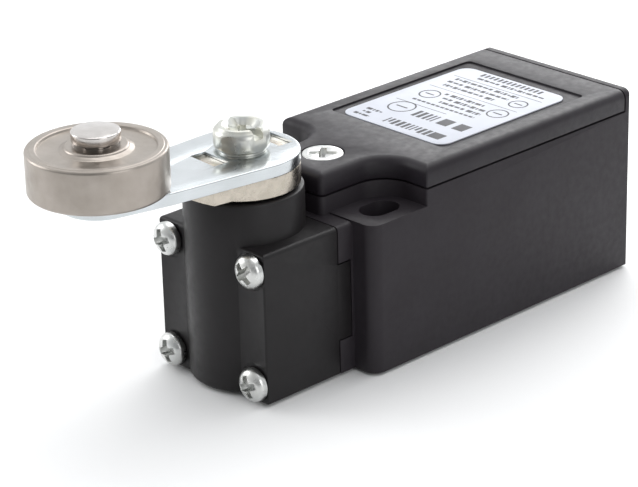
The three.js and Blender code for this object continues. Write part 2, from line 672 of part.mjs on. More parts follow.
/** A lid that rests on the case and reaches into it with a plug. */
function contactBlockCover() {
  const gap = 2 * GUIDE_GAP;
  const low = BLOCK.top + CONTACT_GAP;
  const half = BLOCK_CAVITY.halfWidth - gap;
  const thickness = 1;
  const plugDepth = 1.5;
  return join(
    block([-half, BLOCK.front + gap, low], [half, BLOCK.back - gap, low + thickness]),
    block(
      [gap - half, BLOCK_CAVITY.front + gap, low - plugDepth],
      [half - gap, BLOCK_CAVITY.back - gap, low + thickness / 2],
    ),
  );
}

/** Terminal pad on the shelf with a leaf down to its contact tip. */
function fixedContact({ side, y, leaf, tipSide }) {
  const { inner, outer, halfLength, thickness, hole } = PAD;
  const low = BLOCK.shelf + RUNNING_FIT;
  const leafOuter = 5.7;
  const leafLow = 9.6;
  const contact = cut(
    join(
      block([inner, y - halfLength, low], [outer, y + halfLength, low + thickness]),
      block([inner, leaf, leafLow], [leafOuter, leaf + LEAF_THICKNESS, low + thickness]),
      contactTip(TIP.x, leaf, LEAF_THICKNESS, tipSide),
    ),
    barZ(hole, low - SPARE, low + thickness + SPARE, TERMINAL_X, y, 16),
  );
  return side > 0 ? contact : mirrored(contact);
}

/** A round contact tip on the far (side 1) or near (side -1) face of a strip that starts at y. */
function contactTip(x, y, thickness, side) {
  const sunk = 0.01;
  const near = side > 0 ? y + thickness - sunk : y - TIP.height;
  return barY(TIP.radius, near, near + TIP.height + sunk, x, PLUNGER_Z, 16);
}

/** The same solid on the other side of the plane x = 0. */
function mirrored(geometry) {
  const copy = geometry.clone().scale(-1, 1, 1);
  const index = copy.index.array;
  for (let i = 0; i < index.length; i += 3) {
    [index[i], index[i + 1]] = [index[i + 1], index[i]];
  }
  return copy;
}

function clampPlate({ side, y }) {
  const { thickness, hole } = PAD;
  const low = BLOCK.shelf + 2 * RUNNING_FIT + thickness;
  const x = side * TERMINAL_X;
  const half = CLAMP_HALF_WIDTH;
  return cut(
    block([x - half, y - half, low], [x + half, y + half, low + thickness]),
    barZ(hole, low - SPARE, low + thickness + SPARE, x, y, 16),
  );
}

/** A terminal or block screw with a low round head. */
function panScrew(x, y, seat, end, headRadius, angle) {
  const crown = seat + 2;
  const profile = [
    [0, end], [M3_RADIUS, end], [M3_RADIUS, seat], [headRadius, seat],
    [headRadius, crown - 0.6], [headRadius - 0.5, crown - 0.1], [0, crown],
  ];
  return cut(turned(profile, 12), crossDrive(crown, 1.1, 1.6, 0.7, angle)).translate(x, y, 0);
}

/** Sliding bar with a window for each bridge and its spring, and a seat for the return spring. */
function contactPlunger() {
  const { halfWidth, halfHeight, front, back } = BAR;
  const windowHalfHeight = BRIDGE.halfHeight + GUIDE_GAP;
  const windows = Object.values(BRIDGES).map(({ window: [y0, y1] }) => block(
    [-halfWidth - SPARE, y0, PLUNGER_Z - windowHalfHeight],
    [halfWidth + SPARE, y1, PLUNGER_Z + windowHalfHeight],
  ));
  return cut(
    block([-halfWidth, front, PLUNGER_Z - halfHeight], [halfWidth, back, PLUNGER_Z + halfHeight]),
    ...windows,
    barY(RETURN_SPRING.seatRadius, RETURN_SPRING.seat, back + SPARE, 0, PLUNGER_Z, 20),
  );
}

function movingBridge({ plate: y, tipSide }) {
  const { halfWidth, halfHeight, thickness } = BRIDGE;
  return join(
    block([-halfWidth, y, PLUNGER_Z - halfHeight], [halfWidth, y + thickness, PLUNGER_Z + halfHeight]),
    ...bothSides((side) => contactTip(side * TIP.x, y, thickness, tipSide)),
  );
}

// ---- materials and assembly ----

const finish = (color, roughness, metalness) => (
  new THREE.MeshStandardMaterial({ color, roughness, metalness })
);

const blackPlastic = finish(0x232326, 0.55, 0);
const headPlastic = finish(0x1c1c1f, 0.5, 0);
const rubber = finish(0x151515, 0.85, 0);
const zinc = finish(0xd4d6da, 0.28, 1);
const nickel = finish(0xcfc4b2, 0.35, 1);
const stainless = finish(0xb5aca4, 0.4, 1);
const steel = finish(0x9a9da1, 0.4, 1);
const springSteel = finish(0x8c8f94, 0.35, 1);
const brass = finish(0xb9923f, 0.35, 1);
const labelStock = finish(0xdfe4ee, 0.5, 0);
const bushPlastic = finish(0xe8e4d8, 0.5, 0);
const blockPlastic = finish(0x2c3138, 0.5, 0);
const carrierPlastic = finish(0xb3372c, 0.5, 0);

const group = new THREE.Group();
group.name = 'limit_switch';

function add(parent, name, geometry, material) {
  const mesh = new THREE.Mesh(geometry, material);
  mesh.name = name;
  parent.add(mesh);
  return mesh;
}

add(group, 'body_housing', bodyHousing(), blackPlastic);
add(group, 'cover_lid', coverLid(), blackPlastic);
add(group, 'lid_gasket', lidGasket(), rubber);
add(group, 'label_plate', labelPlate(), labelStock);
add(group, 'lid_screw', lidScrew(), zinc);

add(group, 'head_housing', headHousing(), headPlastic);
add(group, 'head_gasket', headGasket(), rubber);
const screwTurns = [0.5, 0.15, 0.45, 0.25];
headScrewPlaces().forEach(({ x, z }, i) => {
  add(group, `head_screw_${i + 1}`, headScrew(x, z, screwTurns[i]), zinc);
});
add(group, 'head_piston', headPiston(), steel);
const headSpring = spring(3.6, 0.35, PISTON_CAP_Y + RUNNING_FIT, SPRING_SEAT_Y - RUNNING_FIT, 5);
add(group, 'head_return_spring', headSpring, springSteel);

const shaftGroup = new THREE.Group();
shaftGroup.position.set(0, SHAFT_Y, 0);
group.add(shaftGroup);
add(shaftGroup, 'shaft', shaft(), steel);
const bearing = ({ radius, low, high }) => ring(SHAFT_RADIUS + RUNNING_FIT, radius, low, high);
add(shaftGroup, 'shaft_bush', bearing(BUSH), bushPlastic);
add(shaftGroup, 'shaft_seal', bearing(SEAL), rubber);
add(shaftGroup, 'shaft_circlip', shaftCirclip(), springSteel);
add(shaftGroup, 'cam', cam(), steel);

const leverGroup = new THREE.Group();
leverGroup.position.set(0, SHAFT_Y, 0);
leverGroup.rotation.z = LEVER_ANGLE;
group.add(leverGroup);
add(leverGroup, 'lever_hub', leverHub(), nickel);
add(leverGroup, 'lever_plate', leverPlate(), zinc);
add(leverGroup, 'lever_bolt', leverBolt(), zinc);

const rollerGroup = new THREE.Group();
rollerGroup.position.set(0, -ARM_LENGTH, 0);
leverGroup.add(rollerGroup);
add(rollerGroup, 'roller_washer', ring(PIN.radius + 0.1, WASHER.radius, WASHER.low, WASHER.high, 24), steel);
add(rollerGroup, 'roller', roller(), stainless);
add(rollerGroup, 'roller_pin', rollerPin(), steel);

add(group, 'contact_block_case', contactBlockCase(), blockPlastic);
add(group, 'contact_block_cover', contactBlockCover(), blockPlastic);
for (const terminal of TERMINALS) {
  const { number, side, y } = terminal;
  const seat = BLOCK.shelf + 1.72;
  add(group, `fixed_contact_${number}`, fixedContact(terminal), brass);
  add(group, `clamp_plate_${number}`, clampPlate(terminal), zinc);
  add(group, `terminal_screw_${number}`, panScrew(side * TERMINAL_X, y, seat, 11, 2.7, number), zinc);
}
[-1, 1].forEach((side, i) => {
  const screw = panScrew(side * TERMINAL_X, BLOCK_SCREW_Y, BLOCK.shelf + 0.02, 1.4, 2.4, i + 0.4);
  add(group, `contact_block_screw_${i + 1}`, screw, zinc);
});
add(group, 'contact_plunger', contactPlunger(), carrierPlastic);
const returnSpring = spring(1.2, 0.2, RETURN_SPRING.low, RETURN_SPRING.high, 6, 8);
add(group, 'contact_return_spring', returnSpring, springSteel);
for (const [kind, bridge] of Object.entries(BRIDGES)) {
  add(group, `moving_bridge_${kind}`, movingBridge(bridge), brass);
  add(group, `contact_spring_${kind}`, spring(1, 0.18, ...bridge.spring, 2.5, 8), springSteel);
}

export default group;
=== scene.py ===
"""Limit switch with a roller lever: the visible surfaces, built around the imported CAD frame.

Lengths are written in millimetres and turned into metres when a mesh is made.
"""

import json
import math

import bmesh
import bpy
from mathutils import Matrix, Vector

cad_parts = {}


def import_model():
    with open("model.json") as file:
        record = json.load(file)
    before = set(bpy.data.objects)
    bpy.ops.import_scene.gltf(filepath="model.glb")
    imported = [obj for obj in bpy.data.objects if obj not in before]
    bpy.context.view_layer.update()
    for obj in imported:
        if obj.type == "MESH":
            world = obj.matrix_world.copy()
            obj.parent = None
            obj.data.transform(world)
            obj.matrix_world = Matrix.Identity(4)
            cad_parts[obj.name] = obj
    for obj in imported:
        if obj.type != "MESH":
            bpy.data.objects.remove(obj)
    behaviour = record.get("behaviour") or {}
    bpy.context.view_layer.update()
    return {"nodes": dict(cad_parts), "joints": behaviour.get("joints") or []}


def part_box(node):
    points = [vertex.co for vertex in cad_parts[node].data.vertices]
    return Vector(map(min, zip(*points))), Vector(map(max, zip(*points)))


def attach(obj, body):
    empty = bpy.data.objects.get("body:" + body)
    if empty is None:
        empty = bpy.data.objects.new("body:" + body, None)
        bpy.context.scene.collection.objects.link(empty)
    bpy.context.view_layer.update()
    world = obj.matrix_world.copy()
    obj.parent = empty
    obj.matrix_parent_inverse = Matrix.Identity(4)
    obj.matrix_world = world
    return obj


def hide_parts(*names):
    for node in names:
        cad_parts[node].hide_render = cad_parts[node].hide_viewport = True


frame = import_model()

MM = 0.001
TAU = 2 * math.pi
SMOOTH_ANGLE = math.radians(32)
SPARE = 1  # how far a cutter reaches past the surface it opens
SEAM_GAP = 0.22  # the dark line between two pieces
PLAY = 0.02  # kept free between two pieces that rest on each other


# ---- the frame's places, in millimetres ----

def box_mm(node):
    """Lowest and highest corner of a CAD node at rest."""
    low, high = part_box(node)
    return low / MM, high / MM


def joint_point(name):
    """A joint's place in the record."""
    joint = next(j for j in frame["joints"] if j["name"] == name)
    return Vector(joint["pos_m"]) / MM


BODY_LOW, BODY_HIGH = box_mm("body_housing")
LID_LOW, LID_HIGH = box_mm("cover_lid")
HEAD_LOW, HEAD_HIGH = box_mm("head_housing")
PLATE_LOW, PLATE_HIGH = box_mm("lever_plate")
HUB_LOW, HUB_HIGH = box_mm("lever_hub")
ROLLER_LOW, ROLLER_HIGH = box_mm("roller")
PIN_LOW, PIN_HIGH = box_mm("roller_pin")
BOLT_HIGH = box_mm("lever_bolt")[1]
LABEL_LOW, LABEL_HIGH = box_mm("label_plate")
SHAFT = joint_point("lever_turn")
ROLLER_AXIS = joint_point("roller_spin")
ARM = (ROLLER_AXIS - SHAFT).to_2d()
LEVER_ANGLE = math.atan2(ARM.x, -ARM.y)

# base: rectangle with ears in front, neck between them, end wall behind
SEAM_Z = 26.2
EAR_TOP_Z, EAR_BACK_Y = 23.5, 5.2
EAR_CORNER, EAR_CORNER_Y = 2, -4
NECK_HALF, NECK_FILLET, NECK_CORNER = 6.55, 5.0, 1.0
END_WALL_Y, END_WALL_CORNER, END_CORNER = 49.6, 1.4, 0.4
HEAD_BACK_Y, HEAD_TOP_Z, HEAD_EDGE = BODY_LOW.y, 23.25, 0.7
CHAMBER, CHAMBER_FLOOR = (-12.7, 6.8, 12.7, 43.7), 2.2
LEDGE, LEDGE_Z = (-13.3, 6.2, 13.3, 44.3), 24.8
FIXING_SLOT_X, FIXING_SLOT_WIDTH, FIXING_SLOT_LENGTH = 10.8, 4.6, 6.6
TONGUE_X, TONGUE_END, TONGUE_LOW, TONGUE_HIGH = 9.9, -6.6, 5.5, 17.4
POST_X, POST_Y = 9.1, 28.9
THREAD_RADIUS = 1.5
PLUNGER_Z = 11.6
CONDUIT_Z, CONDUIT_CREST, CONDUIT_ROOT, CONDUIT_PITCH = 14, 9.2, 10.0, 1.5

# lid and what it carries
LID_EDGE = 1.35
LID_SCREW_Y = -0.9
SPIGOT = (-11.8, 7.7, 11.8, 42.8)
LID_POCKET, LID_POCKET_TOP = (-10.4, 9.1, 10.4, 41.4), 27.9
LABEL_RECESS, LABEL_RECESS_DEPTH = (-12.3, 12.5, 12.3, 43.5), 0.3

# head: its front face stands behind the turret's foremost line by the setback
HEAD_FRONT_SETBACK = 2.13
HEAD_HOLE, SCREW_RELIEF = 1.65, 3.0
CAVITY_HALF, CAVITY_LOW, CAVITY_HIGH = 7, 5, 18.2

# arm, in its own frame: round end at the origin, tip towards -Y
ARM_LENGTH = ARM.length
ARM_END_RADIUS, ARM_TIP_RADIUS = 8.43, 5.5
SHOULDER_HALF, SHOULDER_REACH = 6.85, 17.4
ARM_SLOT_HALF, ARM_SLOT_NEAR, ARM_SLOT_FAR = 2.8, 4.6, 7.2
HUB_STEP_Z, HUB_INSET, HUB_REACH, HUB_END_RADIUS = 31.0, 0.15, 12, 23
LUG_PLAY, LUG_DROP = 0.12, 0.45
BOLT_FLATS, BOLT_BARREL, BOLT_COLLAR = 7.9, 4.2, 3.5
BOLT_SLOT_TURN = math.radians(1)


# ---- outlines: lists of (x, y) ----

def arc(centre, radius, start, end, steps=8):
    """Points on an arc, angles in degrees."""
    angles = [math.radians(start + (end - start) * i / steps) for i in range(steps + 1)]
    return [(centre[0] + radius * math.cos(a), centre[1] + radius * math.sin(a)) for a in angles]


def rounded_rectangle(x0, y0, x1, y1, radius, steps=8):
    return (
        arc((x1 - radius, y0 + radius), radius, -90, 0, steps)
        + arc((x1 - radius, y1 - radius), radius, 0, 90, steps)
        + arc((x0 + radius, y1 - radius), radius, 90, 180, steps)
        + arc((x0 + radius, y0 + radius), radius, 180, 270, steps)
    )


def rectangle(x0, y0, x1, y1):
    return [(x0, y0), (x1, y0), (x1, y1), (x0, y1)]


def slot_outline(centre_x, width, length, steps=10):
    """A slot with round ends, its length along Y."""
    half, reach = width / 2, (length - width) / 2
    return arc((centre_x, reach), half, 0, 180, steps) + arc((centre_x, -reach), half, 180, 360, steps)


def cover_outline(inset, end_y):
    """Neck, fillets and main rectangle of the lid and of the base below it, drawn in by inset."""
    half, neck, front = BODY_HIGH.x - inset, NECK_HALF - inset, LID_LOW.y + inset
    fillet, corner = NECK_FILLET + inset, max(NECK_CORNER - inset, 0.02)
    ear_corner = max(0.3 - inset, 0.02)  # where the ear's step meets the side
    right = arc((neck - corner, front + corner), corner, -90, 0, 6)
    right += arc((NECK_HALF + NECK_FILLET, EAR_BACK_Y - NECK_FILLET), fillet, 180, 90, 16)
    right += arc((half - ear_corner, EAR_BACK_Y + inset + ear_corner), ear_corner, -90, 0, 4)
    right.append((half, end_y))
    return right + [(-x, y) for x, y in reversed(right)]


def touch_angle(x, y, centre_y, radius, side):
    """Degrees at which a line from (x, y) touches a circle about (0, centre_y)."""
    distance = math.hypot(x, y - centre_y)
    return math.degrees(math.atan2(y - centre_y, x) + side * math.acos(radius / distance))


def arm_outline(inset, steps=48):
    """The arm drawn in by inset: round end at the origin, shoulders, round tip towards -Y."""
    x, y = SHOULDER_HALF - inset, -SHOULDER_REACH
    end, tip = ARM_END_RADIUS - inset, ARM_TIP_RADIUS - inset
    end_touch = touch_angle(x, y, 0, end, 1)
    tip_touch = touch_angle(x, y, -ARM_LENGTH, tip, -1)
    return (
        arc((0, 0), end, end_touch, 180 - end_touch, steps)
        + [(-x, y)]
        + arc((0, -ARM_LENGTH), tip, -180 - tip_touch, tip_touch, steps)
        + [(x, y)]
    )


# ---- meshes ----

def make_object(name, points, faces):
    """A mesh object from points in millimetres."""
    mesh = bpy.data.meshes.new(name)
    mesh.from_pydata([Vector(p) * MM for p in points], [], faces)
    mesh.validate()
    shape = bmesh.new()
    shape.from_mesh(mesh)
    bmesh.ops.remove_doubles(shape, verts=shape.verts, dist=1e-3 * MM)
    bmesh.ops.recalc_face_normals(shape, faces=shape.faces)
    shape.to_mesh(mesh)
    shape.free()
    item = bpy.data.objects.new(name, mesh)
    bpy.context.scene.collection.objects.link(item)
    return item


def loft(name, rings):
    """A closed solid through rings of equally many points, flat at both ends."""
    count = len(rings[0])
    points = [p for ring in rings for p in ring]
    faces = [tuple(reversed(range(count)))]
    for level in range(len(rings) - 1):
        for i in range(count):
            j = (i + 1) % count
            low, high = level * count, (level + 1) * count
            faces.append((low + i, low + j, high + j, high + i))
    faces.append(tuple((len(rings) - 1) * count + i for i in range(count)))
    return make_object(name, points, faces)


def prism(name, outline, low, high, axis="z"):
    """An outline raised along an axis: (x, y) along z, or (x, z) along y."""
    if axis == "y":
        return loft(name, [[(x, level, z) for x, z in outline] for level in (low, high)])
    return loft(name, [[(x, y, level) for x, y in outline] for level in (low, high)])


def raised(name, outline_at, low, high, low_edge, high_edge, steps=6):
    """A prism along z whose outer edges are rounded: outline_at(inset) draws each level."""
    levels = []
    for i in range(steps + 1):
        angle = math.radians(90 * i / steps)
        levels.append((low_edge * (1 - math.sin(angle)), low + low_edge * (1 - math.cos(angle))))
    for i in range(steps + 1):
        angle = math.radians(90 * i / steps)
        levels.append((high_edge * (1 - math.cos(angle)), high - high_edge * (1 - math.sin(angle))))
    return loft(name, [[(x, y, z) for x, y in outline_at(inset)] for inset, z in levels])


def revolve(name, profile, centre=(0, 0), segments=96):
    """A solid turned about the vertical line through centre; the profile is (radius, z) pairs."""
    closed = profile[0] == profile[-1]
    used = profile[:-1] if closed else profile
    points, faces = [], []
    for i in range(segments):
        turn = TAU * i / segments
        points += [(centre[0] + r * math.cos(turn), centre[1] + r * math.sin(turn), z) for r, z in used]
    count = len(used)
    for i in range(segments):
        here, there = i * count, ((i + 1) % segments) * count
        for k in range(count if closed else count - 1):
            n = (k + 1) % count
            faces.append((here + k, there + k, there + n, here + n))
    return make_object(name, points, faces)


def round_bar(name, radius, low, high, place, axis="z", segments=48):
    """A round bar along an axis; place is its two other coordinates."""
    outline = [(place[0] + x, place[1] + y) for x, y in arc((0, 0), radius, 0, 360, segments)[:-1]]
    return prism(name, outline, low, high, axis)


def revolve_y(name, profile, z, segments=72):
    """A solid turned about the line along Y at height z; the profile is (radius, y) pairs."""
    item = revolve(name, profile, segments=segments)
    item.data.transform(Matrix.Rotation(-math.pi / 2, 4, "X"))
    return shift(item, (0, 0, z))


def cuboid(name, low, high):
    return prism(name, rectangle(low[0], low[1], high[0], high[1]), low[2], high[2])


def slab(name, plan, low, high):
    """A block over a rectangular plan (x0, y0, x1, y1)."""
    return prism(name, rectangle(*plan), low, high)


def bake(item):
    """Turns an object's modifiers into its mesh."""
    graph = bpy.context.evaluated_depsgraph_get()
    mesh = bpy.data.meshes.new_from_object(item.evaluated_get(graph))
    item.modifiers.clear()
    old = item.data
    item.data = mesh
    bpy.data.meshes.remove(old)
    return item


def boolean(base, operation, *tools):
    """Joins, cuts or crosses base with each tool, and removes the tools."""
    for tool in tools:
        step = base.modifiers.new(operation, "BOOLEAN")
        step.operation = operation
        step.solver = "EXACT"
        step.object = tool
        bpy.context.view_layer.update()
        bake(base)
        bpy.data.objects.remove(tool)
    return base


def join(base, *tools):
    return boolean(base, "UNION", *tools)


def cut(base, *tools):
    return boolean(base, "DIFFERENCE", *tools)


def cross(base, *tools):
    return boolean(base, "INTERSECT", *tools)


def soften(item, width, segments=3, angle=38):
    """Rounds the sharp edges by width and shades the rest smooth."""
    shape = bmesh.new()
    shape.from_mesh(item.data)
    bmesh.ops.remove_doubles(shape, verts=shape.verts, dist=2e-3 * MM)
    bmesh.ops.dissolve_limit(
        shape, angle_limit=math.radians(0.5), verts=shape.verts, edges=shape.edges, delimit={"NORMAL"}
    )
    shape.to_mesh(item.data)
    shape.free()
    if width:
        step = item.modifiers.new("edge", "BEVEL")
        step.width = width * MM
        step.segments = segments
        step.limit_method = "ANGLE"
        step.angle_limit = math.radians(angle)
        step.use_clamp_overlap = True
        step.miter_outer = "MITER_ARC"
        bpy.context.view_layer.update()
        bake(item)
    return shade(item)


def shade(item, angle=SMOOTH_ANGLE):
    for face in item.data.polygons:
        face.use_smooth = True
    item.data.set_sharp_from_angle(angle=angle)
    return item


def turn(item, angle):
    """Turns a mesh about the vertical line through the origin."""
    item.data.transform(Matrix.Rotation(angle, 4, "Z"))
    return item


def shift(item, offset):
    item.data.transform(Matrix.Translation(Vector(offset) * MM))
    return item


def place(item, body, slot_name, finish, *nodes):
    """Gives a piece its material and its body, and hides the CAD nodes that it stands for; slot_name is not
    used.
    """
    item.data.materials.clear()
    item.data.materials.append(finish)
    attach(item, body)
    if nodes:
        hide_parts(*nodes)
    return item


# ---- materials ----

class Paint:
    """A node material around one principled shader."""

    def __init__(self, name, color, roughness, metallic=0.0):
        self.material = bpy.data.materials.new(name)
        self.material.use_nodes = True
        self.tree = self.material.node_tree
        self.shader = self.tree.nodes["Principled BSDF"]
        self.shader.inputs["Base Color"].default_value = (*color, 1)
        self.shader.inputs["Roughness"].default_value = roughness
        self.shader.inputs["Metallic"].default_value = metallic
        self.color = color
        self.coordinates = self.add("ShaderNodeTexCoord").outputs["Object"]

    def add(self, kind, **values):
        node = self.tree.nodes.new(kind)
        for key, value in values.items():
            if hasattr(node, key):
                setattr(node, key, value)
            else:
                node.inputs[key].default_value = value
        return node

    def link(self, source, target):
        self.tree.links.new(source, target)

    def noise(self, scale, detail=3.0, stretch=(1, 1, 1), source=None, roughness=0.5):
        mapping = self.add("ShaderNodeMapping")
        mapping.inputs["Scale"].default_value = stretch
        self.link(source or self.coordinates, mapping.inputs["Vector"])
        node = self.add("ShaderNodeTexNoise", Scale=scale, Detail=detail, Roughness=roughness)
        self.link(mapping.outputs["Vector"], node.inputs["Vector"])
        return node.outputs["Fac"]

    def ramp(self, source, low, high, low_at=0.3, high_at=0.7):
        node = self.add("ShaderNodeMapRange")
        node.inputs["From Min"].default_value = low_at
        node.inputs["From Max"].default_value = high_at
        node.inputs["To Min"].default_value = low
        node.inputs["To Max"].default_value = high
        self.link(source, node.inputs["Value"])
        return node.outputs["Result"]

    def tint(self, source, other, low_at=0.35, high_at=0.65):
        """Varies the base colour between the paint's own and another one."""
        mix = self.add("ShaderNodeMix", data_type="RGBA")
        self.link(self.ramp(source, 0, 1, low_at, high_at), mix.inputs["Factor"])
        colors = {"A": self.color, "B": other}
        for socket in mix.inputs:
            if socket.type == "RGBA":
                socket.default_value = (*colors[socket.name], 1)
        result = next(s for s in mix.outputs if s.type == "RGBA")
        self.link(result, self.shader.inputs["Base Color"])
        return self

    def rough(self, source, low, high):
        self.link(self.ramp(source, low, high), self.shader.inputs["Roughness"])
        return self

    def bump(self, source, strength, distance):
        node = self.add("ShaderNodeBump", Strength=strength)
        node.inputs["Distance"].default_value = distance * MM
        self.link(source, node.inputs["Height"])
        last = self.shader.inputs["Normal"]
        if last.is_linked:
            self.link(last.links[0].from_socket, node.inputs["Normal"])
        self.link(node.outputs["Normal"], last)
        return self

    def radial(self):
        """Coordinates (radius, 0, height) about the object's own vertical axis."""
        split = self.add("ShaderNodeSeparateXYZ")
        self.link(self.coordinates, split.inputs["Vector"])
        square = [self.add("ShaderNodeMath", operation="MULTIPLY") for _ in "xy"]
        for node, name in zip(square, "XY"):
            self.link(split.outputs[name], node.inputs[0])
            self.link(split.outputs[name], node.inputs[1])
        total = self.add("ShaderNodeMath", operation="ADD")
        self.link(square[0].outputs[0], total.inputs[0])
        self.link(square[1].outputs[0], total.inputs[1])
        root = self.add("ShaderNodeMath", operation="SQRT")
        self.link(total.outputs[0], root.inputs[0])
        merged = self.add("ShaderNodeCombineXYZ")
        self.link(root.outputs[0], merged.inputs["X"])
        self.link(split.outputs["Z"], merged.inputs["Z"])
        return merged.outputs["Vector"]


def plastic(name, color, other, roughness, grain=5200, depth=0.02, gloss=0.35):
    """Moulded plastic with a spark-eroded grain and faint flow variation."""
    paint = Paint(name, color, roughness)
    paint.shader.inputs["Specular IOR Level"].default_value = gloss
    fine = paint.noise(grain, 2, roughness=0.6)
    broad = paint.noise(140, 4)
    paint.tint(broad, other)
    paint.rough(paint.noise(900, 3), roughness - 0.05, roughness + 0.06)
    return paint.bump(fine, 0.35, depth).material


def plated(name, color, other, roughness, depth=0.004, spots=300):
    """Plated metal with a faint mottle and fine handling marks."""
    paint = Paint(name, color, roughness, 1.0)
    paint.tint(paint.noise(spots, 4), other)
    paint.rough(paint.noise(700, 5), roughness - 0.05, roughness + 0.08)
    return paint.bump(paint.noise(2600, 2), 0.4, depth).material


def turned_metal(name, color, other, roughness, depth):
    """Metal with the concentric marks of turning about its own axis."""
    paint = Paint(name, color, roughness, 1.0)
    lines = paint.noise(9000, 2, source=paint.radial())
    blotches = paint.noise(260, 4)
    paint.tint(blotches, other)
    paint.rough(paint.noise(800, 4), roughness - 0.06, roughness + 0.08)
    paint.bump(lines, 0.35, depth)
    return paint.bump(paint.noise(3800, 2), 0.25, depth).material


def brushed_plate(name, color, other, roughness, angle):
    """Rolled and zinc-plated sheet with faint marks along the arm."""
    paint = Paint(name, color, roughness, 1.0)
    mapping = paint.add("ShaderNodeMapping")
    mapping.inputs["Rotation"].default_value = (0, 0, -angle)
    paint.link(paint.coordinates, mapping.inputs["Vector"])
    marks = paint.noise(2400, 3, stretch=(1, 0.06, 1), source=mapping.outputs["Vector"])
    paint.tint(paint.noise(160, 3), other)
    paint.rough(marks, roughness - 0.04, roughness + 0.06)
    return paint.bump(marks, 0.12, 0.003).material


BLACK = plastic(
    "black_plastic", (0.0165, 0.0130, 0.0165), (0.0195, 0.0160, 0.0200), 0.50, gloss=0.28
)
LID_BLACK = plastic(
    "lid_plastic", (0.0145, 0.0115, 0.0150), (0.0175, 0.0148, 0.0190), 0.47, depth=0.03, gloss=0.28
)
HEAD_BLACK = plastic(
    "head_plastic", (0.010, 0.0088, 0.0094), (0.013, 0.0115, 0.0125), 0.42, 6400, 0.010, 0.26
)
RUBBER = plastic("rubber", (0.009, 0.009, 0.009), (0.014, 0.014, 0.014), 0.8)
BLOCK = plastic("block_plastic", (0.045, 0.052, 0.062), (0.055, 0.062, 0.072), 0.45)
CARRIER = plastic("carrier_plastic", (0.42, 0.05, 0.035), (0.46, 0.07, 0.05), 0.45, depth=0.008)
BUSH = plastic("bush_plastic", (0.78, 0.75, 0.66), (0.72, 0.69, 0.60), 0.45, depth=0.008)
PAPER = plastic("label_film", (0.54, 0.56, 0.62), (0.58, 0.60, 0.66), 0.45, 7000, 0.003, 0.22)
INK = plastic("label_ink", (0.06, 0.06, 0.066), (0.08, 0.08, 0.088), 0.5, 7000, 0.002, 0.2)
ZINC = brushed_plate("zinc_sheet", (0.565, 0.595, 0.61), (0.63, 0.66, 0.68), 0.21, LEVER_ANGLE)
ZINC_SCREW = plated("zinc_screw", (0.60, 0.61, 0.60), (0.68, 0.68, 0.66), 0.28)
ZINC_BOLT = plated("zinc_bolt", (0.54, 0.55, 0.53), (0.64, 0.63, 0.56), 0.30, spots=420)
NICKEL = plated("nickel_hub", (0.45, 0.41, 0.35), (0.55, 0.50, 0.43), 0.26, depth=0.010, spots=700)
ROLLER_STEEL = turned_metal("roller_steel", (0.345, 0.31, 0.275), (0.40, 0.36, 0.325), 0.34, 0.010)
PIN_STEEL = turned_metal("pin_steel", (0.56, 0.53, 0.505), (0.68, 0.65, 0.63), 0.13, 0.006)
STEEL = plated("machined_steel", (0.46, 0.46, 0.47), (0.52, 0.52, 0.53), 0.34)
SPRING_STEEL = plated("spring_steel", (0.36, 0.37, 0.39), (0.44, 0.45, 0.46), 0.3)
BRASS = plated("contact_brass", (0.66, 0.47, 0.20), (0.72, 0.54, 0.27), 0.3)


# ---- base and lid ----

def conduit_thread(low, high, segments=72, per_turn=6):
    """The air inside the threaded conduit entry: a bar along Y whose radius follows a helix."""
    levels = int((high - low) / CONDUIT_PITCH * per_turn)
    rings = []
    for level in range(levels + 1):
        y = low + (high - low) * level / levels
        ring = []
        for i in range(segments):
            phase = (y / CONDUIT_PITCH + i / segments) % 1
            depth = max(0.0, 1 - abs(phase - 0.5) * 2.6)
            radius = CONDUIT_CREST + (CONDUIT_ROOT - CONDUIT_CREST) * depth
            angle = TAU * i / segments
            ring.append((radius * math.cos(angle), y, CONDUIT_Z + radius * math.sin(angle)))
        rings.append(ring)
    return loft("thread", rings)


def head_screw_places():
    """Centres (x, z) of the four head screws."""
    places = []
    for index in range(1, 5):
        low, high = box_mm(f"head_screw_{index}")
        places.append(((low.x + high.x) / 2, (low.z + high.z) / 2))
    return places


def base_plan(low, high):
    """The base's rectangle: round corners at the ears, nearly sharp ones at the conduit end."""
    ear_x, end_x, end_y = BODY_HIGH.x - EAR_CORNER, BODY_HIGH.x - END_CORNER, BODY_HIGH.y - END_CORNER
    outline = (
        arc((ear_x, EAR_CORNER_Y), EAR_CORNER, -90, 0)
        + arc((end_x, end_y), END_CORNER, 0, 90, 4)
        + arc((-end_x, end_y), END_CORNER, 90, 180, 4)
        + arc((-ear_x, EAR_CORNER_Y), EAR_CORNER, 180, 270)
    )
    return prism("base_shell", outline, low, high)


def neck_block():
    """The block behind the head, its upper edges rounded like the head's."""
    half, corner = HEAD_HIGH.x, HEAD_EDGE
    outline = (
        [(-half, 0), (half, 0)]
        + arc((half - corner, HEAD_TOP_Z - corner), corner, 0, 90)
        + arc((corner - half, HEAD_TOP_Z - corner), corner, 90, 180)
    )
    return prism("neck", outline, HEAD_BACK_Y, -3, "y")


def block_post(side):
    """A post that takes one of the contact block's screws."""
    place_xy = (side * POST_X, POST_Y)
    return cut(
        round_bar("post", 3, CHAMBER_FLOOR - SPARE, 4.35, place_xy),
        round_bar("post_hole", THREAD_RADIUS, 1.5, 5, place_xy),
    )


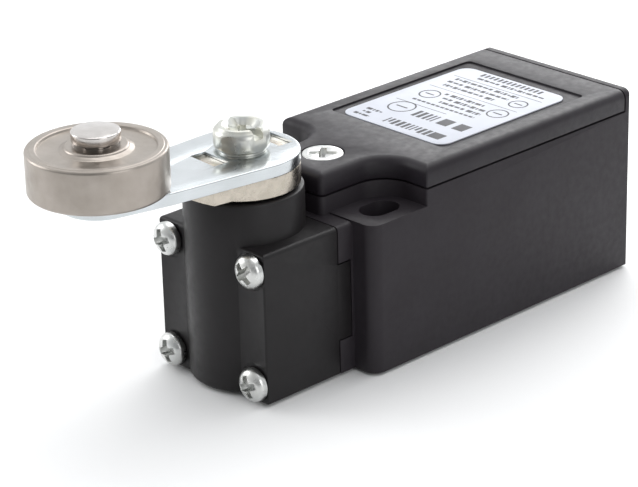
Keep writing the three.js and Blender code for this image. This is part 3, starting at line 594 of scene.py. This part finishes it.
def base_shell():
    half, end, wall_top = BODY_HIGH.x, BODY_HIGH.y, BODY_HIGH.z
    shell_top, overlap = SEAM_Z - SEAM_GAP / 2, EAR_TOP_Z - 2
    shell = base_plan(0, EAR_TOP_Z)
    upper = prism("upper", cover_outline(0, end - 0.3), overlap, shell_top)
    end_block = cross(base_plan(overlap, shell_top), cuboid("end", (-20, 40, 0), (20, 60, 40)))
    wall_face = rounded_rectangle(-half, 20, half, wall_top, END_WALL_CORNER)
    wall = prism("wall", wall_face, END_WALL_Y, end + SPARE, "y")
    wall = cross(wall, base_plan(20, wall_top + SPARE))
    join(shell, upper, end_block, neck_block(), wall)
    outer, gap, front = HEAD_HIGH.x + SPARE, SEAM_GAP, HEAD_BACK_Y - SPARE
    tongue_low, tongue_high = TONGUE_LOW - gap, TONGUE_HIGH + gap
    slot_plans = [
        slot_outline(x, FIXING_SLOT_WIDTH, FIXING_SLOT_LENGTH) for x in (-FIXING_SLOT_X, FIXING_SLOT_X)
    ]
    fixing_slots = [prism("fixing_slot", plan, -SPARE, EAR_TOP_Z + SPARE) for plan in slot_plans]
    screw_threads = [
        round_bar("thread", THREAD_RADIUS, front, -4.3, centre, "y", 24) for centre in head_screw_places()
    ]
    cut(
        shell,
        slab("chamber", CHAMBER, CHAMBER_FLOOR, SEAM_Z + SPARE),
        slab("ledge", LEDGE, LEDGE_Z, SEAM_Z + SPARE),
        round_bar("guide", 4.6, front, -1, (0, PLUNGER_Z), "y"),
        round_bar("stem", 2.8, -2, 8, (0, PLUNGER_Z), "y"),
        *fixing_slots,
        cuboid("tongue_left", (-outer, front, tongue_low), (gap - TONGUE_X, gap + TONGUE_END, tongue_high)),
        cuboid("tongue_right", (TONGUE_X - gap, front, tongue_low), (outer, gap + TONGUE_END, tongue_high)),
        round_bar("lid_thread", THREAD_RADIUS, 18, SEAM_Z + SPARE, (0, LID_SCREW_Y)),
        *screw_threads,
    )
    join(shell, block_post(-1), block_post(1))
    soften(shell, 0.25)
    mouth_profile = [(0, end - 1.1), (CONDUIT_CREST, end - 1.1), (10.6, end + 0.3), (0, end + 0.3)]
    mouth = revolve_y("mouth", mouth_profile, CONDUIT_Z)
    cut(shell, conduit_thread(42, end + SPARE), mouth)
    shade(shell)
    return place(shell, "base", "black_plastic", BLACK, "body_housing")


def seam_groove():
    """A thin step round the lid's foot, which reads as the dark seam."""
    low, high = SEAM_Z - 0.3, SEAM_Z + SEAM_GAP
    groove = cuboid("groove", (-20, -12, low), (20, LID_HIGH.y + 5, high))
    kept = prism("kept", cover_outline(0.6, LID_HIGH.y - 0.6), low - SPARE, high + SPARE)
    return cut(groove, kept)


def cover_shell():
    end, top = LID_HIGH.y - 0.1, LID_HIGH.z
    lid = raised("cover_shell", lambda inset: cover_outline(inset, end), SEAM_Z, top, 0.12, LID_EDGE, 8)
    join(lid, slab("spigot", SPIGOT, LID_LOW.z, SEAM_Z + 0.2))
    screw_seat = [(0, 24), (1.7, 24), (1.7, 27.75), (3.3, 29.3), (3.3, 31), (0, 31)]
    cut(
        lid,
        slab("pocket", LID_POCKET, LID_LOW.z - SPARE, LID_POCKET_TOP),
        prism("recess", rounded_rectangle(*LABEL_RECESS, 0.8), top - LABEL_RECESS_DEPTH, top + SPARE),
        revolve("screw_seat", screw_seat, (0, LID_SCREW_Y), 64),
        seam_groove(),
    )
    soften(lid, 0.09, 2, 50)
    return place(lid, "cover", "black_plastic", LID_BLACK, "cover_lid")


def gasket():
    ring = prism("gasket_cord", rounded_rectangle(-13.2, 6.3, 13.2, 44.2, 0.4), 24.85, 26.15)
    cut(ring, prism("inside", rounded_rectangle(-11.9, 7.6, 11.9, 42.9, 0.3), 24, 27))
    soften(ring, 0.35)
    return place(ring, "cover", "rubber", RUBBER, "lid_gasket")


# ---- operating head ----

def head_outline(inset):
    half, front = HEAD_HIGH.x - inset, HEAD_LOW.y + HEAD_FRONT_SETBACK + inset
    return rounded_rectangle(-half, front, half, -2, max(0.3 - inset, 0.05), 4)


def head_turret():
    radius, top = SHAFT.y - HEAD_LOW.y, HEAD_HIGH.z
    profile = [
        (0, 0), (radius - 0.7, 0), (radius - 0.2, 0.2), (radius, 0.7),
        (radius, top - 0.4), (radius - 0.12, top - 0.12), (radius - 0.4, top), (0, top),
    ]
    turret = revolve("turret", profile, (0, SHAFT.y), 128)
    # above the head's top the turret stays round, over the neck
    return cut(turret, cuboid("behind", (-12, HEAD_BACK_Y - SEAM_GAP, -1), (12, 0, HEAD_TOP_Z + 0.05)))


def head_case():
    half, front, axis = HEAD_HIGH.x, HEAD_LOW.y + HEAD_FRONT_SETBACK, (0, SHAFT.y)
    block = raised("head_case", head_outline, 0, HEAD_TOP_Z, 0.25, HEAD_EDGE)
    cut(block, cuboid("back", (-20, HEAD_BACK_Y - SEAM_GAP, -5), (20, 5, 40)))
    tongues = [
        slab("tongue", (x0, HEAD_BACK_Y - SPARE, x1, TONGUE_END), TONGUE_LOW, TONGUE_HIGH)
        for x0, x1 in ((-half, -TONGUE_X), (TONGUE_X, half))
    ]
    join(block, head_turret(), *tongues)
    places = head_screw_places()
    holes = [round_bar("hole", HEAD_HOLE, front - SPARE, -8, centre, "y", 24) for centre in places]
    reliefs = [round_bar("relief", SCREW_RELIEF, -30, front + 0.12, centre, "y") for centre in places]
    cavity = (-CAVITY_HALF, SHAFT.y, CAVITY_HALF, HEAD_BACK_Y + SPARE)
    cut(
        block,
        slab("cavity", cavity, CAVITY_LOW, CAVITY_HIGH),
        round_bar("cavity_round", CAVITY_HALF, CAVITY_LOW, CAVITY_HIGH, axis),
        round_bar("journal", 2.65, 2.4, 6, axis),
        round_bar("bush_seat", 5.65, 17, 26.5, axis),
        round_bar("seal_seat", 6.25, 26.45, 31, axis, segments=64),
        *holes,
        *reliefs,
    )
    soften(block, 0.22)
    return place(block, "base", "head_plastic", HEAD_BLACK, "head_housing")


# ---- screws ----

def cross_recess(reach, width, depth, top):
    """A cross-drive cutter: four wings that taper towards a blunt point, mouth at top."""
    def ring(scale, z):
        r, w = reach * scale, width * (0.75 + 0.25 * scale) * 0.5
        points = []
        for quarter in range(4):
            c, s = (1, 0, -1, 0)[quarter], (0, 1, 0, -1)[quarter]
            wing = [(r, -0.9 * w), (r, 0.9 * w), (w * 1.5, w), (w * 1.15, w * 1.15)]
            points += [(x * c - y * s, x * s + y * c, z) for x, y in wing]
        return points
    return loft("cross", [ring(0.72, top - depth), ring(0.96, top - depth * 0.4), ring(1.0, top + 0.3)])


def pan_head_screw(index, centre, angle):
    """A pan-head screw made upright and laid along +Y, its head towards -Y."""
    node = f"head_screw_{index}"
    low, high = box_mm(node)
    seat_y = HEAD_LOW.y + HEAD_FRONT_SETBACK - PLAY
    crown, radius = seat_y - low.y, (high.x - low.x) / 2
    shank, foot, rim, edge = 1.4, seat_y - high.y, 0.6, 0.12
    profile = [(0, foot), (shank, foot), (shank, 0), (radius - edge, 0), (radius, edge), (radius, rim)]
    for step in range(1, 12):
        bend = math.pi / 2 * step / 12
        profile.append((radius * math.cos(bend) ** 0.85, rim + (crown - rim) * math.sin(bend)))
    screw = revolve(f"pan_screw_{index}", profile + [(0, crown)], segments=72)
    cut(screw, turn(cross_recess(0.68 * radius, 1.05, 1.6, crown), angle))
    soften(screw, 0.045, 2, 45)
    screw.data.transform(Matrix.Rotation(math.pi / 2, 4, "X"))
    shift(screw, (centre[0], seat_y, centre[1]))
    return place(screw, "base", "zinc_screw", ZINC_SCREW, node)


def lid_screw():
    low, high = box_mm("lid_screw")
    top, radius, shank, edge = high.z, (high.x - low.x) / 2, 1.45, 0.12
    profile = [
        (0, low.z), (shank, low.z), (shank, top - 1.8), (radius, top - 0.3), (radius, top - edge),
        (radius - edge, top), (0, top),
    ]
    screw = revolve("cover_screw", profile, segments=72)
    cut(screw, turn(cross_recess(2.05, 1.0, 1.5, top), math.radians(42)))
    soften(screw, 0.05, 2, 45)
    shift(screw, (0, (low.y + high.y) / 2, 0))
    return place(screw, "cover", "zinc_screw", ZINC_SCREW, "lid_screw")


# ---- lever ----

def to_lever(item):
    """From the arm's own frame to the lever's place at rest."""
    turn(item, LEVER_ANGLE)
    return shift(item, (SHAFT.x, SHAFT.y, 0))


def arm_slots(name, play, low, high):
    """Blocks the size of the arm's two slots, less play all round."""
    half, near, far = ARM_SLOT_HALF - play, ARM_SLOT_NEAR + play, ARM_SLOT_FAR - play
    return [slab(name, (-half, y0, half, y1), low, high) for y0, y1 in ((-far, -near), (near, far))]


def lever_blade():
    low, high = PLATE_LOW.z, PLATE_HIGH.z
    under, over = low - SPARE, high + SPARE
    blade = raised("lever_blade", arm_outline, low, high, 0.1, 0.18, 4)
    cut(
        blade,
        *arm_slots("slot", 0, under, over),
        round_bar("bolt_hole", 2.65, under, over, (0, 0)),
        round_bar("pin_hole", 2.1, under, over, (0, -ARM_LENGTH)),
    )
    soften(blade, 0.05, 2, 50)
    to_lever(blade)
    return place(blade, "lever", "zinc_plate", ZINC, "lever_plate")


def driver_hub():
    """A disc with a flat nose under the arm, and two lugs that stand in the arm's slots."""
    low, step, top = HUB_LOW.z, HUB_STEP_Z, PLATE_LOW.z - PLAY
    hub = prism("driver_hub", arm_outline(HUB_INSET), step, top)
    end_centre = (0, HUB_END_RADIUS - HUB_REACH)
    cross(hub, round_bar("end_round", HUB_END_RADIUS, step - SPARE, top + SPARE, end_centre, segments=128))
    radius, chamfer = (HUB_HIGH.x - HUB_LOW.x) / 2 - PLAY, 0.25
    disc = [(0, low), (radius - chamfer, low), (radius, low + chamfer), (radius, top), (0, top)]
    join(hub, revolve("disc", disc, segments=128))
    join(hub, *arm_slots("lug", LUG_PLAY, step + 0.5, PLATE_HIGH.z - LUG_DROP))
    cut(
        hub,
        round_bar("bore", 2.6, low - SPARE, top + 2, (0, 0)),
        round_bar("shaft_seat", 4.05, low - SPARE, 31.2, (0, 0)),
    )
    soften(hub, 0.1, 3, 40)
    to_lever(hub)
    return place(hub, "lever", "nickel_hub", NICKEL, "lever_hub")


def clamp_bolt():
    """Barrel-shaped hexagon head on a collar, dished, with a straight slot and a cross drive."""
    seat, top = PLATE_HIGH.z + PLAY, BOLT_HIGH.z
    head = round_bar("clamp_bolt", BOLT_FLATS / math.sqrt(3), seat, top, (0, 0), segments=6)
    turn(head, math.radians(30))
    barrel = [(0, seat), (BOLT_COLLAR, seat), (BOLT_COLLAR, seat + 0.3)]
    barrel += arc((BOLT_BARREL - 0.9, seat + 1.2), 0.9, -80, 0, 6)
    barrel += arc((BOLT_BARREL - 1.3, top - 1.35), 1.3, 0, 55, 8)
    barrel += [(3.45, top - 0.02), (0, top)]
    cross(head, revolve("barrel", barrel, segments=128))
    dish = [(0, top - 1.0), (2.0, top - 0.9), (2.85, top + 0.05), (0, top + 0.05)]
    cut(
        head,
        revolve("dish", dish, segments=64),
        turn(slab("groove", (-6, -0.8, 6, 0.8), top - 1.4, top + SPARE), BOLT_SLOT_TURN),
        turn(cross_recess(2.0, 1.1, 1.9, top - 0.8), BOLT_SLOT_TURN + math.radians(45)),
    )
    soften(head, 0.09, 3, 30)
    join(head, round_bar("shank", 2.45, 22.5, seat + 0.3, (0, 0), segments=40))
    shade(head)
    to_lever(head)
    return place(head, "lever", "zinc_screw", ZINC_BOLT, "lever_bolt")


# ---- roller ----

def on_roller_axis(item):
    """Stands a turned piece on the roller's axis, which its ring pattern follows."""
    item.location = Vector((ROLLER_AXIS.x, ROLLER_AXIS.y, 0)) * MM
    return item


def roller_wheel():
    radius, low, top = (ROLLER_HIGH.x - ROLLER_LOW.x) / 2, ROLLER_LOW.z, ROLLER_HIGH.z
    bore, face, foot_edge, rim_edge = 2.1, top - 0.3, 0.6, 0.5
    profile = [(bore, low), (radius - foot_edge, low)]
    profile += arc((radius - foot_edge, low + foot_edge), foot_edge, -90, 0, 6)
    profile += arc((radius - rim_edge, face - 0.52), rim_edge, 0, 60, 6)
    profile += [
        (9.35, face - 0.07), (9.25, face), (8.55, face), (8.38, face - 0.08), (8.25, face - 0.36),
        (8.0, face - 0.42), (5.4, face - 0.34),
    ]
    profile += arc((5.4, face + 0.16), 0.5, 270, 225, 4)
    profile += arc((4.2, top - 0.42), 0.42, 20, 90, 5)
    profile += [(3.3, top - 0.02), (3.1, top - 0.12), (bore, top - 0.12), (bore, low)]
    wheel = shade(revolve("roller_wheel", profile, segments=160), math.radians(24))
    return place(on_roller_axis(wheel), "roller_wheel", "roller_steel", ROLLER_STEEL, "roller")


def rivet_pin():
    foot, top, radius = PIN_LOW.z, PIN_HIGH.z, (PIN_HIGH.x - PIN_LOW.x) / 2
    shank, shoulder_top, head_low, edge = 2.0, PLATE_LOW.z - 0.05, top - 1.5, 0.22
    profile = [
        (0, foot), (2.6, foot), (3.0, foot + 0.15), (3.2, foot + 0.5), (3.2, shoulder_top),
        (shank, shoulder_top), (shank, head_low), (radius - 0.15, head_low), (radius, head_low + 0.15),
    ]
    profile += arc((radius - edge, top - edge), edge, 0, 80, 6)
    pin = shade(revolve("rivet_pin", profile + [(0, top)], segments=128), math.radians(40))
    return place(on_roller_axis(pin), "lever", "pin_steel", PIN_STEEL, "roller_pin")


# ---- label ----

LABEL_CORNER = 2.1
# small print, one run of dashes each: y, first x, last x, height
PRINT_ROWS = [
    (14.3, -9.2, -6.0, 0.7), (15.6, -8.6, -7.0, 0.7), (16.9, -9.0, -5.8, 0.7),
    (24.6, -6.8, 6.2, 0.85), (26.2, -2.6, 6.0, 0.85), (27.8, -3.4, 5.6, 0.85), (29.4, -4.4, 3.8, 0.85),
    (32.4, -7.6, 3.2, 0.85), (34.0, -8.2, 4.6, 0.85), (35.6, -8.0, 5.2, 0.85), (38.1, -5.6, 8.4, 0.75),
]
# bold print, one run of upright bars each: y, first x, last x, height
PRINT_BARS = [(14.6, -3.2, 5.2, 2.1), (19.4, -1.9, 2.6, 2.5), (39.5, -6.2, 6.4, 1.3)]
PRINT_BLOCKS = [(3.4, 19.4, 5.6, 21.9), (6.7, 19.4, 8.9, 21.9), (6.1, 14.6, 8.6, 16.7)]
PRINT_RULES = [(23.3, -8.8, 2.0), (31.2, -9.2, 9.3), (37.0, -9.4, 9.2)]
# rings with a bar inside: x, y, radius
PRINT_RINGS = [(-5.4, 21.2, 2.3), (-6.2, 28.2, 1.8), (7.6, 28.8, 1.8), (7.1, 34.0, 1.6)]


def dashes(y, x0, x1, height, seed):
    """Short dashes that stand for a line of small print."""
    marks, x, step = [], x0, seed
    while x < x1:
        step = (step * 7 + 3) % 11
        width = 0.3 + 0.09 * step
        lift = 0.22 * height * (step % 3)
        marks.append(rectangle(x, y + lift / 2, min(x + width, x1), y + height - lift / 2))
        x += width + 0.24 + 0.35 * (step == 4)
    return marks


def bars(y, x0, x1, height, seed):
    """Upright bars that stand for a line of bold print."""
    marks, x, step = [], x0, seed
    while x < x1:
        step = (step * 5 + 2) % 7
        marks.append(rectangle(x, y + 0.25 * height * (step == 2), x + 0.32 + 0.07 * step, y + height))
        x += 0.72 + 0.07 * step
    return marks


def label():
    top = LABEL_HIGH.z - PLAY
    film = prism(
        "label_film",
        rounded_rectangle(LABEL_LOW.x, LABEL_LOW.y, LABEL_HIGH.x, LABEL_HIGH.y, LABEL_CORNER, 10),
        LABEL_LOW.z, top,
    )
    soften(film, 0.03, 2, 50)
    place(film, "cover", "label", PAPER, "label_plate")
    marks = [rectangle(*block) for block in PRINT_BLOCKS]
    for index, row in enumerate(PRINT_ROWS):
        marks += dashes(*row, index + 2)
    for index, row in enumerate(PRINT_BARS):
        marks += bars(*row, index + 1)
    for y, x0, x1 in PRINT_RULES:
        marks.append(rectangle(x0, y, x1, y + 0.13))
    for x, y, radius in PRINT_RINGS:
        marks.append(rectangle(x - 0.5 * radius, y - 0.16, x + 0.5 * radius, y + 0.16))
    level = top + 0.004
    points, faces = [], []
    for outline in marks:
        faces.append(tuple(range(len(points), len(points) + 4)))
        points += [(x, y, level) for x, y in outline]
    for x, y, radius in PRINT_RINGS:
        start, count = len(points), 48
        outline = arc((x, y), radius, 0, 360, count)[:-1]
        for outer, inner in zip(outline, arc((x, y), radius - 0.26, 0, 360, count)):
            points += [(*outer, level), (*inner, level)]
        for i in range(count):
            here, there = start + 2 * i, start + 2 * ((i + 1) % count)
            faces.append((here, there, there + 1, here + 1))
    ink = make_object("label_print", points, faces)
    step = ink.modifiers.new("thickness", "SOLIDIFY")
    step.thickness = 0.008 * MM
    step.offset = 1
    bake(ink)
    return place(ink, "cover", "label", INK)


# ---- inner pieces keep their CAD shape, with broken edges and a finish ----

TERMINALS = (13, 14, 21, 22)
INNER = {
    RUBBER: ["head_gasket", "shaft_seal"],
    STEEL: ["shaft", "cam", "head_piston", "roller_washer"],
    SPRING_STEEL: [
        "head_return_spring", "contact_return_spring", "contact_spring_no", "contact_spring_nc",
        "shaft_circlip",
    ],
    BLOCK: ["contact_block_case", "contact_block_cover"],
    CARRIER: ["contact_plunger"],
    BUSH: ["shaft_bush"],
    BRASS: [f"fixed_contact_{n}" for n in TERMINALS] + ["moving_bridge_no", "moving_bridge_nc"],
    ZINC_SCREW: [f"{kind}_{n}" for kind in ("terminal_screw", "clamp_plate") for n in TERMINALS]
    + ["contact_block_screw_1", "contact_block_screw_2"],
}


def finish_inner_pieces():
    for material, names in INNER.items():
        for name in names:
            item = frame["nodes"][name]
            item.data.materials.clear()
            item.data.materials.append(material)
            weld = item.modifiers.new("weld", "WELD")
            weld.merge_threshold = 2e-3 * MM
            flat = item.modifiers.new("flat", "DECIMATE")
            flat.decimate_type = "DISSOLVE"
            flat.angle_limit = math.radians(1)
            edge = item.modifiers.new("edge", "BEVEL")
            edge.width = 0.05 * MM
            edge.segments = 2
            edge.angle_limit = math.radians(40)
            shade(item)


# ---- stage ----

CAMERA_PLACE = Vector((268.89, -253.73, 171.95))
CAMERA_TURN, CAMERA_TILT, CAMERA_ROLL = 46.9, 23.03, -1.49
LENS = 151.2
FLOOR_HALF = 3000
WORLD_DIM, WORLD_BRIGHT = 0.30, 1.10


def camera():
    turned, tilt, roll = (math.radians(v) for v in (CAMERA_TURN, CAMERA_TILT, CAMERA_ROLL))
    level = math.cos(tilt)
    back = Vector((math.sin(turned) * level, -math.cos(turned) * level, math.sin(tilt)))
    right = Vector((math.cos(turned), math.sin(turned), 0))
    up = back.cross(right)
    rolled_right = right * math.cos(roll) + up * math.sin(roll)
    rolled_up = up * math.cos(roll) - right * math.sin(roll)
    data = bpy.data.cameras.new("camera")
    data.lens = LENS
    data.sensor_width = 36
    data.clip_start = 0.01
    item = bpy.data.objects.new("camera", data)
    axes = Matrix((rolled_right, rolled_up, back)).transposed().to_4x4()
    item.matrix_world = Matrix.Translation(CAMERA_PLACE * MM) @ axes
    bpy.context.scene.collection.objects.link(item)
    bpy.context.scene.camera = item


def floor():
    corners = rectangle(-FLOOR_HALF, -FLOOR_HALF, FLOOR_HALF, FLOOR_HALF)
    item = make_object("floor", [(x, y, 0) for x, y in corners], [(0, 1, 2, 3)])
    item.location.z = -0.5 * MM
    paint = Paint("floor_white", (0.92, 0.92, 0.92), 0.7)
    paint.tint(paint.noise(20, 2), (0.93, 0.93, 0.93))
    item.data.materials.append(paint.material)


def area_light(name, place_mm, aim_mm, size_mm, power):
    data = bpy.data.lights.new(name, "AREA")
    data.shape = "RECTANGLE"
    data.size, data.size_y = size_mm[0] * MM, size_mm[1] * MM
    data.energy = power
    item = bpy.data.objects.new(name, data)
    item.location = Vector(place_mm) * MM
    aim = Vector(aim_mm) * MM - item.location
    item.rotation_euler = aim.to_track_quat("-Z", "Y").to_euler()
    item.visible_camera = False
    bpy.context.scene.collection.objects.link(item)


def world():
    """A studio that is bright behind the object and dimmer on the camera's side."""
    background = bpy.data.worlds.new("studio")
    background.use_nodes = True
    tree = background.node_tree
    shader = tree.nodes["Background"]
    shader.inputs["Color"].default_value = (0.97, 0.985, 1, 1)
    coordinates = tree.nodes.new("ShaderNodeTexCoord")
    facing = tree.nodes.new("ShaderNodeVectorMath")
    facing.operation = "DOT_PRODUCT"
    angle = math.radians(CAMERA_TURN)
    facing.inputs[1].default_value = (-math.sin(angle), math.cos(angle), 0.35)
    strength = tree.nodes.new("ShaderNodeMapRange")
    strength.inputs["From Min"].default_value = -0.9
    strength.inputs["From Max"].default_value = 0.8
    strength.inputs["To Min"].default_value = WORLD_DIM
    strength.inputs["To Max"].default_value = WORLD_BRIGHT
    tree.links.new(coordinates.outputs["Generated"], facing.inputs[0])
    tree.links.new(facing.outputs["Value"], strength.inputs["Value"])
    tree.links.new(strength.outputs["Result"], shader.inputs["Strength"])
    bpy.context.scene.world = background


def stage():
    camera()
    floor()
    world()
    area_light("top_light", (-60, 160, 420), (0, 0, 20), (420, 420), 0.9)
    area_light("rear_light", (-70, 175, 105), (0, 50, 30), (150, 100), 0.14)
    area_light("left_light", (-420, -260, 220), (0, 0, 15), (240, 300), 0.68)
    area_light("right_light", (420, -60, 200), (0, 10, 15), (240, 300), 0.42)
    bpy.context.scene.view_settings.view_transform = "Standard"


SCREW_ANGLES = (18, 44, 15, 20)

stage()
base_shell()
cover_shell()
gasket()
head_case()
for screw_index, (screw_centre, degrees) in enumerate(zip(head_screw_places(), SCREW_ANGLES), 1):
    pan_head_screw(screw_index, screw_centre, math.radians(degrees))
lid_screw()
lever_blade()
driver_hub()
clamp_bolt()
roller_wheel()
rivet_pin()
label()
finish_inner_pieces()
